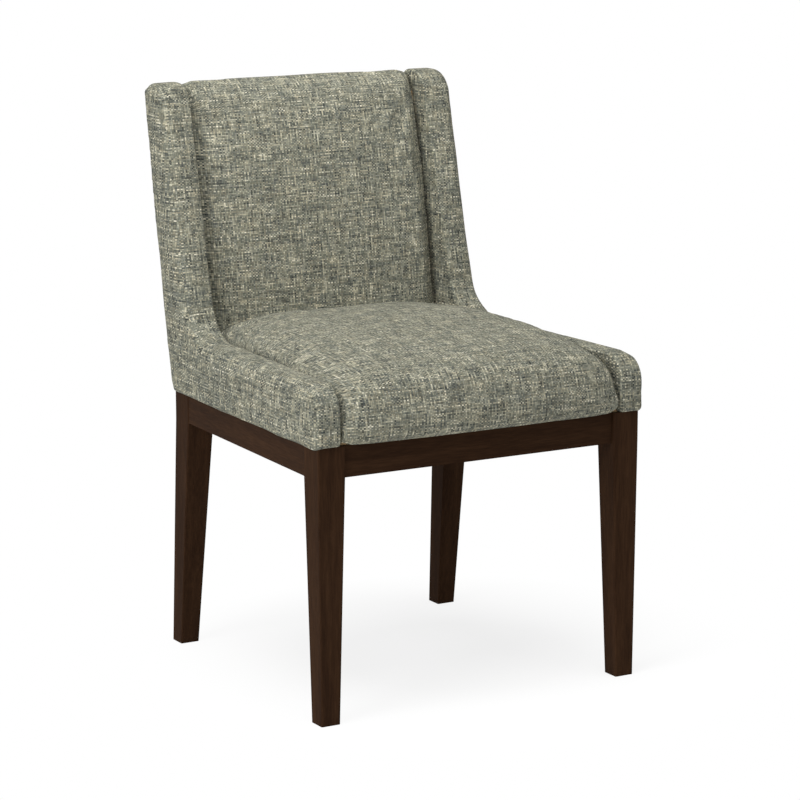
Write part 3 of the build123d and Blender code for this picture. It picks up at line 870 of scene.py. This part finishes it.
seatPad = padFrom("seat_foam", "seat_pad", seat["voxel"])
seatPoints = pointsOf(seatPad)
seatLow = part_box("seat_cover")[0]
seatHeld = seatPoints[:, 2] < seatLow.z + seat["heldFoot"]
seatHeld |= (seatPoints[:, 2] < seat["heldBelow"]) & (seatPoints[:, 1] > seat["heldBehind"])
relax(seatPad, seat["relax"])
rollEnds(seatPad, seat["rollWidth"], seat["rollRounds"], seat["rollFoot"])
swell(seatPad, seatHeld, seat["cap"])
refine(seatPad)
bringOut(seatPad, seat["lift"], seat["sideLift"])
sinkEnds(seatPad, seat["sink"], seat["sinkWidth"], seat["sinkWays"])
addTravel(seatPad)
ripple(seatPad, seat["ripple"], seat["rippleSize"], seat["seed"])
weaveSeat(seatPad, seat["seed"])
seatPad.data.materials.clear()
seatPad.data.materials.append(tweedCloth)
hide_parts("seat_cover", "seat_foam")
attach(seatPad, "root")
print("seat made")

# inside back: slim crowned pad with a rolled top edge
back = {
    "voxel": 0.0052,
    "cap": 0.003,
    "relax": 2,
    "lift": 0.0024,
    "sideLift": 0.0018,
    "rollWidth": 0.019,
    "rollRounds": 14,
    "rollFoot": 0.45,
    "sink": 0.008,
    "sinkWidth": 0.026,
    "sinkWays": (0.0, 1.0, 0.0),
    "heldFoot": 0.02,
    "heldDepth": 0.026,
    "heldFrom": 0.40,
    "foot": 0.426,
    "frontFoot": 0.1657,
    "lean": 0.18,
    "rollFrom": 0.80,
    "rollRun": 0.03,
    "cornerRise": 0.002,
    "riseSpan": (0.55, 0.97),
    "cornerDepth": 0.006,
    "cornerFrom": 0.79,
    "cornerSpan": (0.88, 0.99),
    # tone: painted light, the inside back's weave painted lighter than the other pieces
    "tone": 1.05,
    "fold": (
        (-0.1853, 0.2655, 0.8482),
        (-0.1840, 0.2516, 0.8361),
        (-0.1821, 0.2454, 0.8227),
        (-0.1796, 0.2423, 0.8086),
    ),
    "foldDepth": 0.0008,
    "foldWidth": 0.0035,
    "ripple": 0.0008,
    "rippleSize": 0.08,
    "seed": 4,
}


def fillCorners(obj):  # the top edge runs on level to the wings, its last bit pulled back a little
    points = pointsOf(obj)
    outward = np.abs(points[:, 0]) / backHigh.x
    ends = smoothStep(outward, *back["riseSpan"])
    upper = smoothStep(points[:, 2], back["rollFrom"], backHigh.z)
    points[:, 2] += back["cornerRise"] * ends * upper
    corner = smoothStep(points[:, 2], back["cornerFrom"], backHigh.z)
    points[:, 1] += back["cornerDepth"] * smoothStep(outward, *back["cornerSpan"]) * corner
    setPoints(obj, points)


def weaveBack(obj, seed):  # up the front, then on over the rolled top
    points = pointsOf(obj)
    front = back["frontFoot"] + back["lean"] * (points[:, 2] - back["foot"])
    depth = np.clip(points[:, 1] - front, 0, None)
    top = smoothStep(points[:, 2], back["rollFrom"], back["rollFrom"] + back["rollRun"])
    v = points[:, 2] / cos(atan(back["lean"])) + depth * top
    point = cornersOf(obj)[0]
    setWeave(obj, points[point, 0], v[point], seed, back["tone"])


backPad = padFrom("back_foam", "inside_back", back["voxel"])
backPoints = pointsOf(backPad)
relax(backPad, back["relax"])
rollEnds(backPad, back["rollWidth"], back["rollRounds"], back["rollFoot"])
backLow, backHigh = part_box("inside_back_cover")
backHeld = backPoints[:, 2] < backLow.z + back["heldFoot"]
backPlane = wing["rearFoot"] - back["heldDepth"] + back["lean"] * (backPoints[:, 2] - back["heldFrom"])
backHeld |= backPoints[:, 1] > backPlane
swell(backPad, backHeld, back["cap"])
refine(backPad)
bringOut(backPad, back["lift"], back["sideLift"])
sinkEnds(backPad, back["sink"], back["sinkWidth"], back["sinkWays"])
fillCorners(backPad)
addTravel(backPad)
ripple(backPad, back["ripple"], back["rippleSize"], back["seed"])
crease(backPad, back["fold"], back["foldDepth"], back["foldWidth"])
weaveBack(backPad, back["seed"])
backPad.data.materials.clear()
backPad.data.materials.append(tweedCloth)
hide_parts("inside_back_cover", "back_foam")
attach(backPad, "root")
print("inside back made")

# outside back: one cloth stretched over the rear between the wings, its edges turned in
rear = {
    "step": 0.005,
    "crown": 0.0025,
    "turn": 0.0022,
    "edge": 0.008,
    "tuck": 0.0055,
    "thick": 0.0008,
    # tone: painted light level of the outside back's weave, darker than the inside back's
    "tone": 0.95,
    "ripple": 0.0003,
    "rippleSize": 0.09,
    "seed": 5,
}


def gridPiece(name, across, up, place):  # a quad grid, each point laid by place(share across, share up)
    shares = [(i / across, j / up) for j in range(up + 1) for i in range(across + 1)]
    row = across + 1
    firsts = [j * row + i for j in range(up) for i in range(across)]
    quads = [(first, first + 1, first + row + 1, first + row) for first in firsts]
    mesh = bpy.data.meshes.new(name)
    mesh.from_pydata([place(i, j) for i, j in shares], [], quads)
    return newPiece(name, mesh)


def thicken(obj, depth, offset):  # offset -1 grows inward only, 0 grows both ways
    step = obj.modifiers.new("thick", "SOLIDIFY")
    step.thickness = depth
    step.offset = offset
    applyModifiers(obj)


def makeRear():
    low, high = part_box("outside_back_cover")
    lean = wing["rearLean"]

    def place(across, up):
        z = wing["bottom"] + (high.z - wing["bottom"]) * up
        y = wingRear(z)
        half = wingInner(y) + rear["tuck"]
        x = half * (1 - 2 * across)
        inward = min(half - abs(x), z - wing["bottom"], high.z - z)
        bend = max(0.0, 1 - inward / rear["edge"])
        drop = rear["turn"] * (1 - (1 - bend**2) ** 0.5)
        bulge = rear["crown"] * (1 - (x / half) ** 2) * sin(pi * up)
        return (x, y + bulge - drop, z)

    columns = round(2 * high.x / rear["step"])
    rows = round((high.z - low.z) / rear["step"])
    obj = gridPiece("outside_back", columns, rows, place)
    points = pointsOf(obj)
    thicken(obj, rear["thick"], -1.0)
    obj.data.shade_smooth()
    ripple(obj, rear["ripple"], rear["rippleSize"], rear["seed"])
    spots = pointsOf(obj)
    point = cornersOf(obj)[0]
    setWeave(obj, spots[point, 0], spots[point, 2] / cos(atan(lean)), rear["seed"], rear["tone"])
    obj.data.materials.append(tweedCloth)
    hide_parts("outside_back_cover")
    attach(obj, "root")


makeRear()

# dust cover: thin black cloth tacked under the seat frame, sagging a little
dust = {
    "step": 0.012,
    "drop": 0.0003,
    "sag": 0.006,
    "slack": 0.14,
    "thick": 0.0008,
    "cutSlip": 1e-5,
    "ripple": 0.0004,
    "rippleSize": 0.05,
    "seed": 6,
}


def makeDustCover():
    low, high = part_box("dust_cover")
    spots = pointsOf(nodes["dust_cover"])[:, :2]
    rim = [Vector(spots[i]) for i in geometry.convex_hull_2d([tuple(spot) for spot in spots])]
    size = high - low

    def place(across, up):
        return (low.x + size.x * across, low.y + size.y * up, low.z - dust["drop"])

    obj = gridPiece("dust_cloth", round(size.x / dust["step"]), round(size.y / dust["step"]), place)
    shape = bmesh.new()
    shape.from_mesh(obj.data)
    sides = []
    for index, here in enumerate(rim):
        there = rim[(index + 1) % len(rim)]
        way = (there - here).normalized()
        sides.append((here, Vector((way.y, -way.x))))
    for here, out in sides:
        everything = shape.verts[:] + shape.edges[:] + shape.faces[:]
        bmesh.ops.bisect_plane(
            shape,
            geom=everything,
            plane_co=here.to_3d(),
            plane_no=out.to_3d(),
            clear_outer=True,
            dist=dust["cutSlip"],
        )
    shape.to_mesh(obj.data)
    shape.free()
    points = pointsOf(obj)
    gaps = [(np.array(here) - points[:, :2]) @ np.array(out) for here, out in sides]
    inward = np.min(gaps, axis=0)
    points[:, 2] -= dust["sag"] * smoothStep(inward, 0, dust["slack"])
    setPoints(obj, points)
    thicken(obj, dust["thick"], 0.0)
    ripple(obj, dust["ripple"], dust["rippleSize"], dust["seed"])
    obj.data.materials.append(flecked["black_cambric"])
    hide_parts("dust_cover")
    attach(obj, "root")


makeDustCover()

# white studio: the camera sees white, the chair keeps its soft shadow on the floor
studio = {
    "worldLight": 0.35,
    "floorShow": 0.76,
    "white": (1.0, 1.0, 1.0, 1.0),
    "floorColour": (0.96, 0.96, 0.96, 1.0),
    "floorHalf": 6.0,
    "floorMiddle": (0.09, -0.06, 0.0),
    "fadeFrom": 0.18,
    "fadeTo": 0.48,
    "lamps": (
        ("key", (-3.1, -1.0, 2.2), 2.0, 80.0),
        ("top", (-0.3, -0.65, 3.2), 2.6, 84.0),
    ),
    "aim": (0.0, 0.0, 0.45),
}


def seenByCamera(tree):  # one for what the camera sees, straight or by shine and glass
    path = addNode(tree, "ShaderNodeLightPath")
    seen = calc(tree, "MAXIMUM", path.outputs["Is Camera Ray"], path.outputs["Is Glossy Ray"])
    return calc(tree, "MAXIMUM", seen, path.outputs["Is Transmission Ray"])


def makeStudio():
    world = bpy.data.worlds.new("studio")
    scene.world = world
    world.use_nodes = True
    tree = world.node_tree
    tree.nodes.clear()
    seen = seenByCamera(tree)
    strength = calc(tree, "MULTIPLY_ADD", seen, 1 - studio["worldLight"], studio["worldLight"])
    shine = addNode(tree, "ShaderNodeBackground", {"Color": studio["white"], "Strength": strength})
    ending = addNode(tree, "ShaderNodeOutputWorld")
    tree.links.new(shine.outputs[0], ending.inputs[0])

    sheet = bpy.data.meshes.new("floor")
    half = studio["floorHalf"]
    corners = [(-half, -half, 0), (half, -half, 0), (half, half, 0), (-half, half, 0)]
    sheet.from_pydata(corners, [], [(0, 1, 2, 3)])
    floor = newPiece("floor", sheet)
    finish = bpy.data.materials.new("pale_floor")
    finish.use_nodes = True
    tree = finish.node_tree
    tree.nodes.clear()
    matt = addNode(tree, "ShaderNodeBsdfDiffuse", {"Color": studio["floorColour"]})
    glow = addNode(tree, "ShaderNodeEmission", {"Color": studio["white"], "Strength": 1.0})
    seen = seenByCamera(tree)
    where = addNode(tree, "ShaderNodeTexCoord").outputs["Object"]
    middle = {0: where, 1: studio["floorMiddle"]}
    away = addNode(tree, "ShaderNodeVectorMath", middle, operation="DISTANCE").outputs["Value"]
    fadeSpan = {"From Min": studio["fadeFrom"], "From Max": studio["fadeTo"]}
    fadeSpan.update({"To Min": studio["floorShow"], "To Max": 1.0})
    fade = addNode(tree, "ShaderNodeMapRange", {"Value": away, **fadeSpan})
    mix = addNode(tree, "ShaderNodeMixShader", {0: calc(tree, "MULTIPLY", seen, fade.outputs[0])})
    tree.links.new(matt.outputs[0], mix.inputs[1])
    tree.links.new(glow.outputs[0], mix.inputs[2])
    ending = addNode(tree, "ShaderNodeOutputMaterial")
    tree.links.new(mix.outputs[0], ending.inputs[0])
    floor.data.materials.append(finish)

    for name, place, size, power in studio["lamps"]:
        lamp = bpy.data.lights.new(name, "AREA")
        lamp.shape = "DISK"
        lamp.size = size
        lamp.energy = power
        obj = newPiece(name, lamp)
        obj.location = place
        aim = Vector(studio["aim"]) - Vector(place)
        obj.rotation_euler = aim.to_track_quat("-Z", "Y").to_euler()


makeStudio()

# the photograph's viewpoint
shot = {
    "place": (-2.28147, -3.98036, 1.32883),
    "down": 11.524,
    "turn": -30.086,
    "lens": 140.95,
    "sensor": 36.0,
}
lensData = bpy.data.cameras.new("camera")
lensData.lens = shot["lens"]
lensData.sensor_width = shot["sensor"]
camera = newPiece("camera", lensData)
camera.location = shot["place"]
camera.rotation_euler = (radians(90 - shot["down"]), 0, radians(shot["turn"]))
scene.camera = camera
scene.view_settings.view_transform = "Standard"
print("studio and camera ready")
